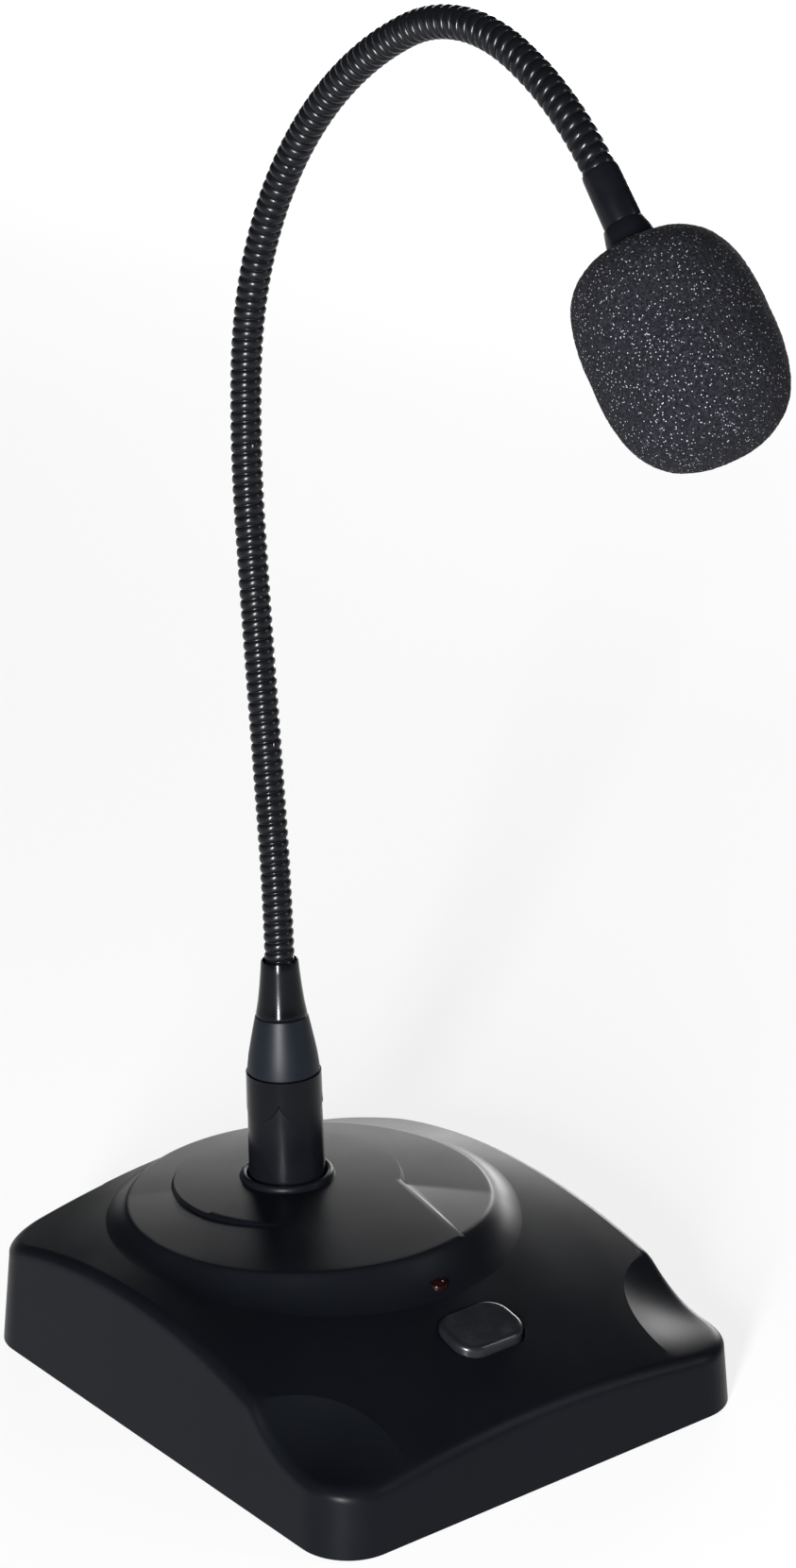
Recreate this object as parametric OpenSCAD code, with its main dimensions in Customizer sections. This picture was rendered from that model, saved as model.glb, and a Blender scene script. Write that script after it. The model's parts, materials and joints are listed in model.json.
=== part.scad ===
// Gooseneck podium microphone: a weighted table base with a talk button, a plug-in
// gooseneck of nine sections, and a foam-covered electret capsule.
// Frame: origin on the table under the middle of the base, +Z up, user's side at -Y.

/* [Base] */
// Width of the base at its bottom edge
base_w = 135; // [112:1:165]
// Depth of the base at its bottom edge
base_d = 156; // [130:1:190]
// Plan radius of the base's corners
corner_r = 14; // [8:0.5:20]
// Wall thickness of the moulded cover
wall = 2.5; // [2:0.1:3]
// Height of the top surface along the middle, at its highest
ridge_h = 43; // [38:0.5:50]
// Height of the top surface at the two sides, at its highest
side_h = 37; // [34:0.5:44]
// Radius of the arch along the middle
ridge_r = 227; // [200:5:400]
// Radius of the arch along the two sides
side_r = 179; // [160:5:400]

/* [Raised disc and stem seat] */
// Distance of the stem behind the middle of the base
stem_y = 31.3; // [22:0.1:36]
// Backward lean of the stem
stem_tilt = 2.24; // [0:0.01:5]
// Radius of the raised disc round the stem
disc_r = 48; // [40:0.5:52]
// Depth of the disc's sloped edge, all of it inside the cover at the back
disc_depth = 12; // [9:0.5:13]

/* [Talk button] */
// Width of the button cap
button_w = 21.6; // [16:0.1:28]
// Depth of the button cap
button_d = 15.2; // [11:0.1:18]
// Distance of the button in front of the middle of the base
button_front = 49.5; // [46:0.5:52]
// Travel of the button
button_travel = 1.5; // [0.8:0.1:2]

/* [Plug] */
// Radius of the plug shell where it meets the base
shell_r = 10.2; // [9.5:0.1:11]
// Length of the plug shell above the base
shell_h = 30; // [24:0.5:36]
// Length of the strain relief boot
boot_h = 15.5; // [12:0.5:20]
// Length of the ferrule that grips the foot of the neck
ferrule_h = 15.6; // [12:0.1:20]
// Depth that the plug goes into the base
plug_depth = 14; // [11:0.5:15]

/* [Gooseneck] */
// Outer radius of the gooseneck
neck_r = 4; // [3.5:0.1:4.4]
// Radius of the bore that the microphone lead runs in
neck_bore_r = 2.3; // [1.9:0.1:2.4]
// Radius of the microphone lead
lead_r = 1.1; // [0.8:0.1:1.2]
// Visible length of the gooseneck
neck_len = 352; // [290:1:425]
// Bend of each neck section as it stands, forwards positive, in degrees
neck_turns = [-3.6, 0, 0.8, 8.2, 21.4, 21.2, 20.7, 47.3, 27.9];

/* [Head] */
// Outer radius of the capsule housing
housing_r = 6.2; // [5.5:0.1:7]
// Length of the capsule housing
housing_h = 33; // [28:0.5:36]
// Outer radius of the foam windscreen
foam_r = 21; // [17:0.5:25]
// Length of the foam windscreen
foam_h = 52; // [46:1:62]

/* [Fits] */
// Gap between a moving piece and the hole that it moves in
slide_gap = 0.3; // [0.2:0.05:0.4]
// Gap between pieces that are screwed or pressed together
seat_gap = 0.1; // [0.05:0.01:0.15]
// Wall radius of the output jack's bore, for a 6.35 mm plug
jack_bore_r = 3.25; // [3.2:0.01:3.3]

/* [Hidden] */
$fn = 48;

// ---- levels above the table
pad_t = 1.2;
plate_t = 2;
plate_z = pad_t;
plate_top = plate_z + plate_t;
cover_z = 0.8;
ballast_t = 5;
board_t = 1.6;
board_z = 12;
board_top = board_z + board_t;

// ---- the cover's top surface: an arch front to back that also falls towards the sides
draft = 4;
edge_r = 3;
ridge_y = 22;
side_y = 12;
crown_power = 1.8;
half_w = base_w / 2;
half_d = base_d / 2;
// the corners are dished by spheres that stand outside them
scoop_r = 44;
scoop_out = [3.5, -8];
front_scoop_z = 60;
rear_scoop_z = 68;
function ridge_z(y) = ridge_h - pow(y - ridge_y, 2) / (2 * ridge_r);
function side_z(y) = side_h - pow(y - side_y, 2) / (2 * side_r);
function dome_z(x, y) =
  side_z(y) + (ridge_z(y) - side_z(y)) * (1 - pow(abs(x) / half_w, crown_power));
function scoop_z(x, y) =
  let (dx = abs(x) - half_w - scoop_out[0], dy = abs(y) - half_d - scoop_out[1],
       left = scoop_r * scoop_r - dx * dx - dy * dy,
       centre = y < 0 ? front_scoop_z : rear_scoop_z)
  left <= 0 ? ridge_h + 20 : centre - sqrt(left);
function top_z(x, y) = min(dome_z(x, y), scoop_z(x, y));

// ---- stem
stem_z = ridge_h + 1.45;
disc_y = stem_y - 9.5;
disc_slope = 0.4;
collar_r = 12.4;
collar_rise = 1.6;
socket_r = shell_r + slide_gap;

// ---- button and lamp
button_y = -button_front;
button_r = 5;
button_tilt = 11;
cap_top_z = top_z(0, button_y) + 1.8;
led_y = button_y + 17;
led_r = 2.2;

// ---- fasteners
screw_r = 1.45;
screw_head_r = 2.8;
screw_head_h = 1.4;
boss_r = 3.6;
base_screw_x = half_w - 15.5;
base_screw_y = half_d - 16;
ballast_x = base_w - 35;
ballast_y = [-18, 56];
ballast_screw_x = ballast_x / 2 - 10;
ballast_screws_y = [ballast_y[0] + 10, ballast_y[1] - 10];
board_w = 60;
board_d = 36;
board_y = button_y + 6;
board_screw_x = board_w / 2 - 4;
board_screw_dy = board_d / 2 - 5;

// ---- socket in the base and plug of the microphone
insert_r = 7.6;
pin_r = 1.19;
pin_circle = 4;
contact_r = 1.7;
socket_floor = -plug_depth - 1;
socket_wall = 2;
socket_bottom = socket_floor - 4;
socket_top = -wall - 1.5;
flange_r = 17.5;
flange_t = 2;
shell_bore_r = insert_r + 0.35;
boot_z = shell_h;
ferrule_z = boot_z + boot_h;
neck_z = ferrule_z + ferrule_h;
neck_tail = 9;
tail_r = neck_r - 0.05;
ferrule_bore_r = neck_r + seat_gap;

// ---- output jack in the back wall
jack_z = 17;
jack_y = half_d - 25;
jack_thread_r = 4.7;
jack_seat_y = half_d - 5.5;
jack_face_y = half_d - 2;
jack_nut_t = 2.2;
jack_nut_r = 6.4;

// ---- neck sections, each a straight or an arc, with a ball end in the next one's cup
links = len(neck_turns);
link_len = neck_len / links;
ball_r = neck_r - 0.1;
cup_r = neck_r + 0.2;
ball_flat = 2.6;
lead_gap = 0.5;
lead_tail_r = lead_r - 0.05;
lead_foot = neck_tail + 30;
lead_head = neck_tail + 3;
function neck_heading(k) = k == 0 ? -stem_tilt : neck_heading(k - 1) + neck_turns[k - 1];
function neck_chord(k) =
  abs(neck_turns[k - 1]) < 0.5 ? link_len
  : link_len * sin(neck_turns[k - 1] / 2) / (neck_turns[k - 1] / 2 * PI / 180);
function neck_point(k) =
  k == 0 ? [stem_y + neck_z * sin(stem_tilt), stem_z + neck_z * cos(stem_tilt)]
  : let (mid = neck_heading(k - 1) + neck_turns[k - 1] / 2)
    neck_point(k - 1) + neck_chord(k) * [-sin(mid), cos(mid)];

// ---- head, measured along its own axis from the end of the neck
upper_ferrule_h = 13.3;
upper_ferrule_z = -2;
housing_z = upper_ferrule_z + upper_ferrule_h;
housing_wall = 1.2;
foam_z = housing_z + 5.1;
foam_bore_r = housing_r + slide_gap;
foam_bore_h = housing_z + housing_h + 1.5 - foam_z;
foam_steps = 12;
foam_round_near = 3;
foam_round_far = 2.7;
grille_t = 0.8;
grille_low = housing_z + housing_h - 3;

// ---------------------------------------------------------------- helpers
module stem_frame() {
  translate([0, stem_y, stem_z]) rotate([-stem_tilt, 0, 0]) children();
}

module neck_frame(k) {
  translate([0, neck_point(k)[0], neck_point(k)[1]]) rotate([neck_heading(k), 0, 0]) children();
}

module head_frame() {
  neck_frame(links) children();
}

module rounded_block(w, d, r, h) {
  translate([-w / 2 + r, -d / 2, 0]) cube([w - 2 * r, d, h]);
  translate([-w / 2, -d / 2 + r, 0]) cube([w, d - 2 * r, h]);
  for (x = [-1, 1], y = [-1, 1])
    translate([x * (w / 2 - r), y * (d / 2 - r), 0]) cylinder(r = r, h = h);
}

module at_corners(x, y) {
  for (i = [-1, 1], j = [-1, 1]) translate([i * x, j * y, 0]) children();
}

module at_ballast_screws() {
  for (x = [-ballast_screw_x, ballast_screw_x], y = ballast_screws_y) translate([x, y, 0]) children();
}

module at_board_screws() {
  for (i = [-1, 1], j = [-1, 1])
    translate([i * board_screw_x, board_y + j * board_screw_dy, 0]) children();
}

// Countersunk screw that points up from a head flush with z = 0
module countersunk_screw(length) {
  difference() {
    union() {
      cylinder(r1 = screw_head_r, r2 = screw_r, h = screw_head_h);
      cylinder(r = screw_r, h = length);
    }
    for (a = [0, 90]) rotate(a) translate([-1.8, -0.3, -1]) cube([3.6, 0.6, 1.9]);
  }
}

// The hole that such a screw sits in
module countersunk_hole(depth) {
  translate([0, 0, -1]) cylinder(r = screw_r + seat_gap, h = depth + 2);
  translate([0, 0, -0.01])
    cylinder(r1 = screw_head_r + seat_gap, r2 = screw_r + seat_gap, h = screw_head_h);
}

// ---------------------------------------------------------------- cover
side_steps = 7;
arc_steps = 5;
// One closed outline of the base as points on a rounded rectangle, anticlockwise
function corner_arc(cx, cy, from) =
  [for (i = [0 : arc_steps]) let (a = from + 90 * i / arc_steps)
    [cx + corner_r * cos(a), cy + corner_r * sin(a)]];
function run(a, b) = [for (i = [1 : side_steps - 1]) a + (b - a) * i / side_steps];
rx = half_w - corner_r;
ry = half_d - corner_r;
outline = concat(
  corner_arc(rx, ry, 0), run([rx, half_d], [-rx, half_d]),
  corner_arc(-rx, ry, 90), run([-half_w, ry], [-half_w, -ry]),
  corner_arc(-rx, -ry, 180), run([-rx, -half_d], [rx, -half_d]),
  corner_arc(rx, -ry, 270), run([half_w, -ry], [half_w, ry]));
count = len(outline);
// The outline moved inwards by a distance
function inset(p, by) = [p[0] * (1 - by / half_w), p[1] * (1 - by / half_d)];
function skin_ring(by, lower, drop) =
  [for (p = outline)
    let (q = inset(p, by), z = top_z(q[0], q[1]) - lower - drop,
         lean = tan(draft) * (z - cover_z), s = inset(p, by + lean))
    [s[0], s[1], z]];
function top_ring(shrink, by, lower) =
  [for (p = outline) let (q = inset(p, by) * shrink) [q[0], q[1], top_z(q[0], q[1]) - lower]];
shrinks = [0.94, 0.87, 0.79, 0.7, 0.6, 0.48, 0.34, 0.18];

// A closed body with the base's outline; by and lower move the skin inwards and down
module skin_body(by, lower, foot) {
  lean_all = by + tan(draft) * 25;
  rings = concat(
    [[for (p = outline) let (q = inset(p, by)) [q[0], q[1], foot]]],
    [skin_ring(by, lower, edge_r)],
    [skin_ring(by + 0.29 * edge_r, lower, 0.29 * edge_r)],
    [for (s = shrinks) top_ring(s, lean_all, lower)]);
  n = len(rings);
  last = [0, 0, top_z(0, 0) - lower];
  centre = [0, 0, foot];
  points = concat([for (r = rings) each r], [centre, last]);
  faces = concat(
    [for (i = [0 : count - 1]) [n * count, i, (i + 1) % count]],
    [for (k = [0 : n - 2], i = [0 : count - 1])
      [k * count + i, (k + 1) * count + i, (k + 1) * count + (i + 1) % count]],
    [for (k = [0 : n - 2], i = [0 : count - 1])
      [k * count + i, (k + 1) * count + (i + 1) % count, k * count + (i + 1) % count]],
    [for (i = [0 : count - 1]) [n * count + 1, (n - 1) * count + (i + 1) % count, (n - 1) * count + i]]);
  polyhedron(points = points, faces = faces);
}

module boss(x, y, from, r) {
  translate([x, y, from]) cylinder(r = r, h = top_z(x, y) - wall / 2 - from);
}

module base_cover() {
  color([0.07, 0.075, 0.085])
    difference() {
      union() {
        difference() {
          union() {
            skin_body(0, 0, cover_z);
            stem_frame() translate([0, disc_y - stem_y, -disc_depth])
              cylinder(r1 = disc_r + disc_slope * disc_depth, r2 = disc_r, h = disc_depth);
          }
          skin_body(wall, wall, cover_z - 1);
          stem_frame() translate([0, disc_y - stem_y, -disc_depth - 1 - wall])
            cylinder(r1 = disc_r + disc_slope * (disc_depth + 1) - wall, r2 = disc_r - wall,
              h = disc_depth + 1);
        }
        stem_frame() cylinder(r = collar_r, h = collar_rise);
        stem_frame() translate([0, 0, socket_top]) cylinder(r = flange_r, h = wall + 1);
        at_corner_bosses();
        at_board_bosses();
        translate([0, half_d - 5.5, jack_z]) rotate([-90, 0, 0]) cylinder(r = 9, h = 3.4);
      }
      stem_frame() translate([0, 0, -wall - 3]) cylinder(r = socket_r, h = wall + 8);
      stem_frame() at_socket_screws() translate([0, 0, socket_top - 1])
        cylinder(r = screw_r + 0.05, h = 3);
      translate([0, button_y, board_top])
        rounded_block(button_w + 2 * slide_gap, button_d + 2 * slide_gap, button_r + slide_gap, 40);
      translate([0, led_y, board_top]) cylinder(r = led_r + seat_gap, h = 40);
      at_corners(base_screw_x, base_screw_y) translate([0, 0, -1]) cylinder(r = screw_r + 0.05, h = 12);
      at_board_screws() translate([0, 0, board_top - 1]) cylinder(r = screw_r + 0.05, h = 8);
      translate([0, half_d - 9, jack_z]) rotate([-90, 0, 0])
        cylinder(r = jack_thread_r + seat_gap, h = 20);
      translate([0, jack_face_y - 1, jack_z]) rotate([-90, 0, 0]) cylinder(r = jack_nut_r + 1.1, h = 10);
    }
}

module at_corner_bosses() {
  for (i = [-1, 1], j = [-1, 1]) boss(i * base_screw_x, j * base_screw_y, plate_top, boss_r);
}

module at_board_bosses() {
  for (i = [-1, 1], j = [-1, 1])
    boss(i * board_screw_x, board_y + j * board_screw_dy, board_top, boss_r - 0.5);
}

// ---------------------------------------------------------------- base floor
floor_inset = wall + 0.6;

module bottom_plate() {
  color([0.12, 0.12, 0.13])
    difference() {
      translate([0, 0, plate_z])
        rounded_block(base_w - 2 * floor_inset, base_d - 2 * floor_inset, corner_r, plate_t);
      at_corners(base_screw_x, base_screw_y) translate([0, 0, plate_z]) countersunk_hole(plate_t);
      at_ballast_screws() translate([0, 0, plate_z]) countersunk_hole(plate_t);
    }
}

module rubber_pad() {
  color([0.05, 0.05, 0.05])
    difference() {
      rounded_block(base_w - 16, base_d - 16, corner_r - 6, pad_t);
      at_corners(base_screw_x, base_screw_y) translate([0, 0, -1]) cylinder(r = screw_head_r + 1, h = 4);
      at_ballast_screws() translate([0, 0, -1]) cylinder(r = screw_head_r + 1, h = 4);
    }
}

module ballast_plate() {
  color([0.45, 0.46, 0.48])
    difference() {
      translate([-ballast_x / 2, ballast_y[0], plate_top])
        cube([ballast_x, ballast_y[1] - ballast_y[0], ballast_t]);
      at_ballast_screws() translate([0, 0, plate_top - 1]) cylinder(r = screw_r + 0.05, h = ballast_t + 2);
    }
}

module base_screws() {
  color([0.3, 0.3, 0.32])
    at_corners(base_screw_x, base_screw_y) translate([0, 0, plate_z]) countersunk_screw(9);
}

module ballast_screws() {
  color([0.3, 0.3, 0.32]) at_ballast_screws() translate([0, 0, plate_z]) countersunk_screw(6);
}

// ---------------------------------------------------------------- microphone socket
module at_socket_screws() {
  for (i = [-1, 1]) translate([i * (flange_r - 2.5), 0, 0]) children();
}

module at_pins() {
  for (a = [60, 180, 300]) rotate(a) translate([0, pin_circle, 0]) children();
}

module socket_body() {
  color([0.1, 0.1, 0.1])
    stem_frame() difference() {
      union() {
        translate([0, 0, socket_bottom]) cylinder(r = socket_r + socket_wall, h = socket_top - socket_bottom);
        translate([0, 0, socket_top - flange_t]) cylinder(r = flange_r, h = flange_t);
      }
      translate([0, 0, socket_floor]) cylinder(r = socket_r, h = 30);
      translate([0, 0, socket_bottom - 1]) cylinder(r = insert_r - 1.6, h = 8);
      at_socket_screws() translate([0, 0, socket_top - flange_t - 1]) cylinder(r = screw_r + 0.05, h = 5);
    }
}

module socket_insert() {
  color([0.16, 0.16, 0.17])
    stem_frame() difference() {
      translate([0, 0, socket_floor]) cylinder(r = insert_r, h = -socket_floor - 1);
      at_pins() translate([0, 0, socket_floor - 1]) cylinder(r = contact_r + seat_gap, h = 30);
    }
}

module socket_contacts() {
  color([0.75, 0.62, 0.3])
    stem_frame() at_pins() difference() {
      union() {
        translate([0, 0, socket_floor + 0.5]) cylinder(r = contact_r, h = -socket_floor - 3);
        translate([0, 0, socket_bottom - 2]) cylinder(r = 0.6, h = 7);
      }
      translate([0, 0, socket_floor + 3]) cylinder(r = pin_r + 0.06, h = 30);
    }
}

module socket_screws() {
  color([0.3, 0.3, 0.32])
    stem_frame() at_socket_screws() union() {
      translate([0, 0, socket_top - flange_t]) cylinder(r = screw_r, h = flange_t + 1.5);
      translate([0, 0, socket_top - flange_t - 1.5]) cylinder(r = 2.3, h = 1.5);
    }
}

// ---------------------------------------------------------------- circuit board, switch and lamp
switch_w = 12;
switch_h = 6;
switch_top = board_top + switch_h;
plunger_w = 3.4;
button_floor = switch_top + 2.2;
button_hollow_h = top_z(0, button_y - button_d / 2) - button_floor - 3;

module circuit_board() {
  color([0.05, 0.3, 0.16])
    difference() {
      translate([-board_w / 2, board_y - board_d / 2, board_z]) cube([board_w, board_d, board_t]);
      at_board_screws() translate([0, 0, board_z - 1]) cylinder(r = screw_r + 0.1, h = 4);
    }
}

module board_screws() {
  color([0.3, 0.3, 0.32])
    at_board_screws() union() {
      translate([0, 0, board_z]) cylinder(r = screw_r, h = 7);
      translate([0, 0, board_z - 1.6]) cylinder(r = 2.7, h = 1.6);
    }
}

module switch_body() {
  color([0.12, 0.12, 0.13])
    difference() {
      translate([-switch_w / 2, button_y - switch_w / 2, board_top]) cube([switch_w, switch_w, switch_h]);
      translate([-plunger_w / 2 - slide_gap, button_y - plunger_w / 2 - slide_gap, board_top + 1])
        cube([plunger_w + 2 * slide_gap, plunger_w + 2 * slide_gap, switch_h]);
    }
}

module switch_plunger() {
  color([0.85, 0.85, 0.8])
    translate([-plunger_w / 2, button_y - plunger_w / 2, board_top + 1 + button_travel + 0.5])
      cube([plunger_w, plunger_w, button_floor + 1.8 - board_top - 1 - button_travel - 0.5]);
}

module button_cap() {
  color([0.05, 0.05, 0.055])
    difference() {
      union() {
        translate([0, button_y, button_floor]) rounded_block(button_w, button_d, button_r, 30);
        translate([0, button_y, button_floor])
          rounded_block(button_w + 1.6, button_d + 1.6, button_r + 0.8, 1.2);
      }
      translate([0, button_y, cap_top_z]) rotate([button_tilt, 0, 0])
        translate([-40, -40, 0]) cube([80, 80, 60]);
      translate([0, button_y, button_floor + 2])
        rounded_block(button_w - 4, button_d - 4, button_r - 2, button_hollow_h);
      translate([0, button_y, button_floor - 1]) cylinder(r = plunger_w * 0.75, h = 1.8);
      translate([-plunger_w / 2 - 0.05, button_y - plunger_w / 2 - 0.05, button_floor - 1])
        cube([plunger_w + 0.1, plunger_w + 0.1, 2.9]);
    }
}

// Return spring: a round wire wound round the plunger
spring_turns = 3;
spring_wire = 0.3;
spring_r = 4.4;
spring_low = switch_top + 0.35;
spring_high = button_floor - 0.35;
spring_steps = 14;
spring_pitch = (spring_high - spring_low) / spring_turns;
function spring_point(t) =
  [spring_r * cos(360 * t), spring_r * sin(360 * t), spring_low + spring_pitch * t];
module button_spring() {
  steps = spring_turns * spring_steps;
  sides = 6;
  points = [for (i = [0 : steps], j = [0 : sides - 1])
    let (t = i / spring_steps, c = spring_point(t), a = 360 * j / sides,
         out = [cos(360 * t), sin(360 * t), 0])
    c + spring_wire * (cos(a) * out + sin(a) * [0, 0, 1])];
  faces = concat(
    [[for (j = [0 : sides - 1]) j]],
    [for (i = [0 : steps - 1], j = [0 : sides - 1])
      [i * sides + j, (i + 1) * sides + j, (i + 1) * sides + (j + 1) % sides, i * sides + (j + 1) % sides]],
    [[for (j = [sides - 1 : -1 : 0]) steps * sides + j]]);
  color([0.7, 0.7, 0.72]) translate([0, button_y, 0]) polyhedron(points = points, faces = faces);
}

module led_lens() {
  color([0.45, 0.08, 0.07])
    translate([0, led_y, 0]) union() {
      translate([0, 0, board_top]) cylinder(r = led_r + 0.5, h = 3);
      translate([0, 0, board_top + 3]) cylinder(r = led_r, h = top_z(0, led_y) - board_top - 3);
    }
}

// Leads inside the base, each a tube along a few points chosen to clear the other pieces
lead_wire_r = 1;
socket_route = [[0, 29, 22.5], [0, 27.5, 19.5], [0, 23, 16.4], [0, 14, 15.2], [0, 2, 14.9],
  [0, -10, 14.8], [0, -20, 14.7], [0, -27, 14.7]];
jack_route = [[3, 50.8, 14.5], [5, 48, 12.5], [10, 44, 11.2], [19, 36, 10.8], [25, 24, 10.8],
  [27, 8, 11], [26, -8, 12.5], [23, -20, 14.4], [21, -27, 14.7]];
function unit(v) = v / norm(v);
module tube(route, r) {
  sides = 8;
  last = len(route) - 1;
  points = [for (i = [0 : last], j = [0 : sides - 1])
    let (along = unit(route[min(i + 1, last)] - route[max(i - 1, 0)]),
         across = unit(cross(along, [0, 0, 1])), up = cross(across, along), a = 360 * j / sides)
    route[i] + r * (cos(a) * across + sin(a) * up)];
  faces = concat(
    [[for (j = [0 : sides - 1]) j]],
    [for (i = [0 : last - 1], j = [0 : sides - 1])
      [i * sides + j, (i + 1) * sides + j, (i + 1) * sides + (j + 1) % sides]],
    [for (i = [0 : last - 1], j = [0 : sides - 1])
      [i * sides + j, (i + 1) * sides + (j + 1) % sides, i * sides + (j + 1) % sides]],
    [[for (j = [sides - 1 : -1 : 0]) last * sides + j]]);
  polyhedron(points = points, faces = faces);
}

module base_leads() {
  color([0.2, 0.2, 0.22]) {
    tube(socket_route, lead_wire_r);
    tube(jack_route, lead_wire_r);
  }
}

// ---------------------------------------------------------------- output jack
module output_jack() {
  color([0.1, 0.1, 0.1])
    translate([0, 0, jack_z]) difference() {
      union() {
        translate([-8, jack_y, -7.5]) cube([16, jack_seat_y - jack_y, 15]);
        translate([0, jack_seat_y - 1, 0]) rotate([-90, 0, 0])
          cylinder(r = jack_thread_r, h = jack_face_y - 1 + jack_nut_t + 0.8 - jack_seat_y + 1);
      }
      translate([0, jack_y + 3, 0]) rotate([-90, 0, 0]) cylinder(r = jack_bore_r, h = 40);
    }
}

module jack_nut() {
  color([0.6, 0.6, 0.62])
    translate([0, jack_face_y - 1, jack_z]) rotate([-90, 0, 0]) difference() {
      cylinder(r = jack_nut_r, h = jack_nut_t, $fn = 6);
      translate([0, 0, -1]) cylinder(r = jack_thread_r + 0.05, h = jack_nut_t + 2);
    }
}

// ---------------------------------------------------------------- plug
cap_r = shell_r - 0.3;
tongue_r = 7.2;
tongue_z = 25.2;
band_z = tongue_z - 0.5;

module plug_shell() {
  color([0.09, 0.09, 0.1])
    stem_frame() difference() {
      union() {
        translate([0, 0, -plug_depth]) cylinder(r = shell_r, h = plug_depth + 2);
        translate([0, 0, 2]) cylinder(r1 = shell_r, r2 = cap_r - 0.15, h = shell_h - 2);
      }
      translate([0, 0, -plug_depth - 1]) cylinder(r = shell_bore_r, h = plug_depth + 9);
      translate([0, 0, 7]) cylinder(r = shell_bore_r - 0.6, h = shell_h);
      at_tongues(0.05);
    }
}

// Round-ended tongues of the clamp cap, cut from its skin
module at_tongues(grow) {
  difference() {
    union() {
      for (a = [0, 90, 180, 270]) rotate(a) {
        translate([0, 0, tongue_z]) rotate([90, 0, 0]) cylinder(r = tongue_r + grow, h = 20);
        translate([-tongue_r - grow, -20, tongue_z])
          cube([2 * (tongue_r + grow), 20, shell_h - tongue_z + 1]);
      }
      translate([0, 0, band_z - grow]) cylinder(r = 20, h = shell_h - band_z + 1 + grow);
    }
    translate([0, 0, -1]) cylinder(r = shell_r - 1.2 - grow, h = shell_h + 5);
  }
}

module plug_cap() {
  color([0.03, 0.03, 0.035])
    stem_frame() intersection() {
      at_tongues(0);
      translate([0, 0, 2]) cylinder(r1 = shell_r + 0.1, r2 = cap_r + 0.1, h = shell_h - 2);
    }
}

module plug_insert() {
  color([0.16, 0.16, 0.17])
    stem_frame() difference() {
      translate([0, 0, 1]) cylinder(r = shell_bore_r - 0.05, h = 6);
      at_pins() translate([0, 0, -1]) cylinder(r = pin_r + 0.02, h = 12);
    }
}

module plug_pins() {
  color([0.78, 0.76, 0.7])
    stem_frame() at_pins() translate([0, 0, -plug_depth + 3]) cylinder(r = pin_r, h = plug_depth + 9);
}

// Split chuck that grips the lead inside the plug
module cable_clamp() {
  color([0.2, 0.2, 0.2])
    stem_frame() difference() {
      translate([0, 0, shell_h - 11]) cylinder(r = shell_bore_r - 0.8, h = 10.5);
      translate([0, 0, shell_h - 12]) cylinder(r = lead_r + 0.4, h = 20);
      translate([-0.5, 0, shell_h - 12]) cube([1, 20, 20]);
    }
}

boot_top_r = 7;
module plug_boot() {
  color([0.12, 0.13, 0.15])
    stem_frame() difference() {
      translate([0, 0, boot_z]) cylinder(r1 = cap_r - 0.1, r2 = boot_top_r, h = boot_h);
      translate([0, 0, boot_z - 1]) cylinder(r = ferrule_bore_r + 0.6, h = boot_h + 2);
    }
}

module lower_ferrule() {
  color([0.03, 0.03, 0.035])
    stem_frame() difference() {
      union() {
        translate([0, 0, ferrule_z]) cylinder(r1 = boot_top_r - 0.2, r2 = neck_r + 0.95, h = ferrule_h);
        translate([0, 0, ferrule_z - 8]) cylinder(r = ferrule_bore_r + 0.5, h = 9);
      }
      translate([0, 0, ferrule_z - 9]) cylinder(r = ferrule_bore_r, h = ferrule_h + 10);
    }
}

// ---------------------------------------------------------------- gooseneck
// A round bar along a neck section, from the origin up, that turns forwards by turn
// degrees; before and after carry it past the section's two ends
module bent_bar(r, turn, before = 0, after = 0) {
  bend_r = abs(turn) < 0.5 ? 1 : link_len / (abs(turn) * PI / 180);
  start = before / bend_r * 180 / PI;
  sweep = abs(turn) + (before + after) / bend_r * 180 / PI;
  if (abs(turn) < 0.5) translate([0, 0, -before]) cylinder(r = r, h = link_len + before + after);
  else if (turn > 0) translate([0, -bend_r, 0]) rotate([90, 0, 90]) rotate([0, 0, -start])
    rotate_extrude(angle = sweep, $fn = 180) translate([bend_r, 0]) circle(r = r, $fn = 48);
  else mirror([0, 1, 0]) translate([0, -bend_r, 0]) rotate([90, 0, 90]) rotate([0, 0, -start])
    rotate_extrude(angle = sweep, $fn = 180) translate([bend_r, 0]) circle(r = r, $fn = 48);
}

module neck_section(k) {
  turn = neck_turns[k - 1];
  color([0.04, 0.04, 0.045])
    difference() {
      union() {
        neck_frame(k - 1) bent_bar(neck_r, turn);
        if (k == 1) neck_frame(0) translate([0, 0, -neck_tail]) cylinder(r = tail_r, h = neck_tail + 1);
        if (k == links) neck_frame(links) translate([0, 0, -1]) cylinder(r = tail_r, h = neck_tail + 1);
        if (k < links) neck_frame(k) intersection() {
          sphere(r = ball_r);
          translate([-10, -10, -0.5]) cube([20, 20, ball_flat + 0.5]);
        }
      }
      if (k > 1) neck_frame(k - 1) sphere(r = cup_r);
      neck_frame(k - 1)
        bent_bar(neck_bore_r, turn, k == 1 ? neck_tail + 1 : 1, k == links ? neck_tail + 1 : ball_flat + 1);
    }
}

// The microphone lead stops short of each joint, so that it clears the next one's
// stretch when the neck bends
module mic_lead(k) {
  color([0.25, 0.25, 0.27]) union() {
    neck_frame(k - 1)
      bent_bar(lead_r, neck_turns[k - 1], k == 1 ? 0 : -lead_gap, k == links ? 0 : -lead_gap);
    if (k == 1) neck_frame(0) translate([0, 0, -lead_foot]) cylinder(r = lead_tail_r, h = lead_foot + 1);
    if (k == links) neck_frame(links) translate([0, 0, -1]) cylinder(r = lead_tail_r, h = lead_head + 1);
  }
}

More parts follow.
